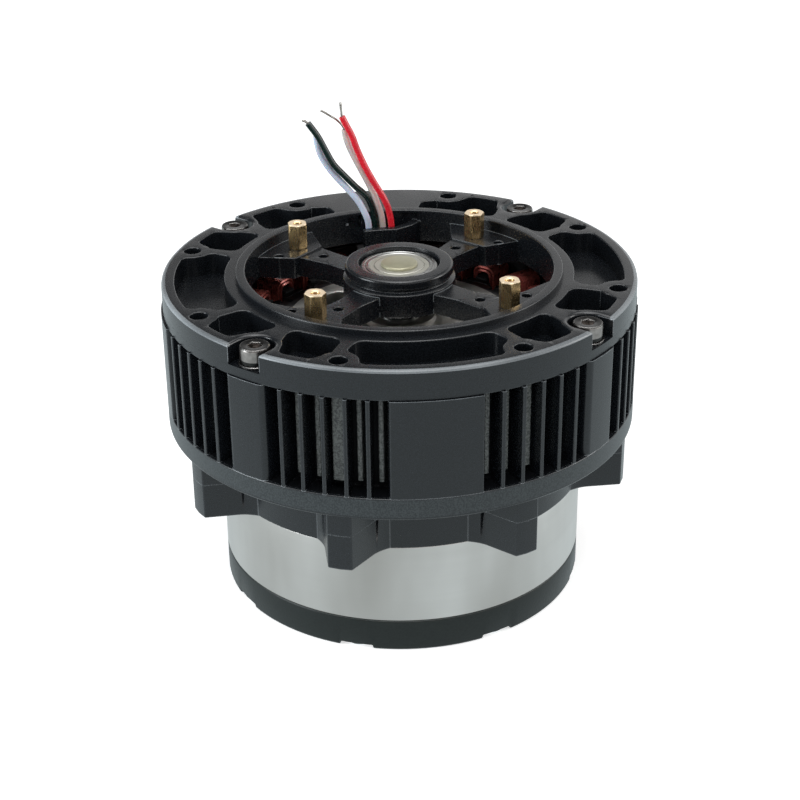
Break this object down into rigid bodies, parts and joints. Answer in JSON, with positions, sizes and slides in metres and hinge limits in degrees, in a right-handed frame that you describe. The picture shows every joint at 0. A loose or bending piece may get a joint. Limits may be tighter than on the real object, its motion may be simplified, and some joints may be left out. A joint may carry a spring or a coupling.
{
  "type": "planetary gear motor",
  "caption": "Round electric gear motor: finned black motor housing with an open spider rear frame and wire leads, over a smaller planetary gearbox with a flange output.",
  "frame": {"origin": "on the motor's axis, at the foot of the gearbox cover", "axes": "+Z along the axis from the output flange to the rear bearing, -Y towards the wide smooth pad at the picture's front, leads at +Y"},
  "size_m": [0.117, 0.117, 0.1132],
  "materials": {
    "black_castings": "satin black, fine-grained, with bright edges",
    "black_cover": "satin black, grainy",
    "ring_steel": "smooth turned",
    "screw_steel": "bright with dark sockets",
    "washer_steel": "bright",
    "standoff_brass": "turned and milled",
    "race_steel": "ground",
    "ball_steel": "polished",
    "shield_steel": "pressed, with fine rings",
    "lamination_steel": "stacked sheets",
    "winding_copper": "enamelled copper wire, dark red",
    "insulator_plastic": "matt black",
    "shaft_steel": "ground",
    "nickel_magnet": "satin nickel with a warm cast",
    "rotor_aluminium": "turned, pale",
    "rotor_steel": "turned",
    "rotor_magnet": "plated, dark",
    "gear_steel": "cut teeth",
    "bush_bronze": "sintered bronze",
    "carrier_steel": "machined",
    "seal_rubber": "matt",
    "flange_steel": "machined, dark",
    "red_insulation": "glossy",
    "white_insulation": "glossy, warm white",
    "black_insulation": "glossy, green-black",
    "pale_insulation": "glossy, pale blue-white",
    "strand_metal": "tinned strands"
  },
  "bodies": {
    "housing": {"rear_end_frame": "black_castings", "finned_housing": "black_castings", "cap_screws": "screw_steel", "cap_screw_washers": "washer_steel", "board_standoffs": "standoff_brass", "rear_bearing_outer_race": "race_steel", "rear_bearing_shields": "shield_steel", "front_bearing_outer_race": "race_steel", "front_bearing_shields": "shield_steel", "stator_core": "lamination_steel", "stator_coils": "winding_copper", "end_insulators": "insulator_plastic", "lead_anchor": "insulator_plastic", "output_bearing_outer_race": "race_steel", "output_seal": "seal_rubber", "ring_gear": "ring_steel", "gearbox_cover": "black_cover", "gearbox_screws": "washer_steel", "lead_red": "red_insulation", "lead_white": "white_insulation", "lead_black": "black_insulation", "lead_pale": "pale_insulation", "lead_tips": "strand_metal"},
    "rotor": {"rotor_shaft": "shaft_steel", "encoder_magnet": "nickel_magnet", "rotor_hub": "rotor_aluminium", "rotor_core": "rotor_steel", "rotor_magnets": "rotor_magnet", "sun_gear": "gear_steel", "rear_bearing_inner_race": "race_steel", "front_bearing_inner_race": "race_steel"},
    "rear_bearing_cage": {"rear_bearing_balls": "ball_steel"},
    "front_bearing_cage": {"front_bearing_balls": "ball_steel"},
    "output_bearing_cage": {"output_bearing_balls": "ball_steel"},
    "carrier": {"planet_carrier": "carrier_steel", "planet_pins": "shaft_steel", "carrier_top_plate": "carrier_steel", "carrier_screws": "screw_steel", "output_bearing_inner_race": "race_steel", "output_flange": "flange_steel", "flange_screws": "screw_steel"},
    "planet_1": {"planet_gear_1": "gear_steel", "planet_bush_1": "bush_bronze"},
    "planet_2": {"planet_gear_2": "gear_steel", "planet_bush_2": "bush_bronze"},
    "planet_3": {"planet_gear_3": "gear_steel", "planet_bush_3": "bush_bronze"}
  },
  "joints": [
    {"name": "rotor_spin", "type": "hinge", "parent": "housing", "child": "rotor", "pos_m": [0, 0, 0.06], "axis": [0, 0, 1], "continuous": true},
    {"name": "carrier_spin", "type": "hinge", "parent": "housing", "child": "carrier", "pos_m": [0, 0, 0.006], "axis": [0, 0, 1], "continuous": true},
    {"name": "planet_1_spin", "type": "hinge", "parent": "carrier", "child": "planet_1", "pos_m": [0, -0.0225, 0.022], "axis": [0, 0, 1], "continuous": true},
    {"name": "planet_2_spin", "type": "hinge", "parent": "carrier", "child": "planet_2", "pos_m": [0.01949, 0.01125, 0.022], "axis": [0, 0, 1], "continuous": true},
    {"name": "planet_3_spin", "type": "hinge", "parent": "carrier", "child": "planet_3", "pos_m": [-0.01949, 0.01125, 0.022], "axis": [0, 0, 1], "continuous": true},
    {"name": "rear_bearing_cage_spin", "type": "hinge", "parent": "housing", "child": "rear_bearing_cage", "pos_m": [0, 0, 0.0791], "axis": [0, 0, 1], "continuous": true},
    {"name": "front_bearing_cage_spin", "type": "hinge", "parent": "housing", "child": "front_bearing_cage", "pos_m": [0, 0, 0.043], "axis": [0, 0, 1], "continuous": true},
    {"name": "output_bearing_cage_spin", "type": "hinge", "parent": "housing", "child": "output_bearing_cage", "pos_m": [0, 0, 0.0061], "axis": [0, 0, 1], "continuous": true}
  ],
  "couplings": [
    {"joint": "carrier_spin", "follows": "rotor_spin", "ratio": 0.16667},
    {"joint": "planet_1_spin", "follows": "rotor_spin", "ratio": -0.41667},
    {"joint": "planet_2_spin", "follows": "rotor_spin", "ratio": -0.41667},
    {"joint": "planet_3_spin", "follows": "rotor_spin", "ratio": -0.41667},
    {"joint": "rear_bearing_cage_spin", "follows": "rotor_spin", "ratio": 0.3889},
    {"joint": "front_bearing_cage_spin", "follows": "rotor_spin", "ratio": 0.3889},
    {"joint": "output_bearing_cage_spin", "follows": "rotor_spin", "ratio": 0.07667}
  ]
}
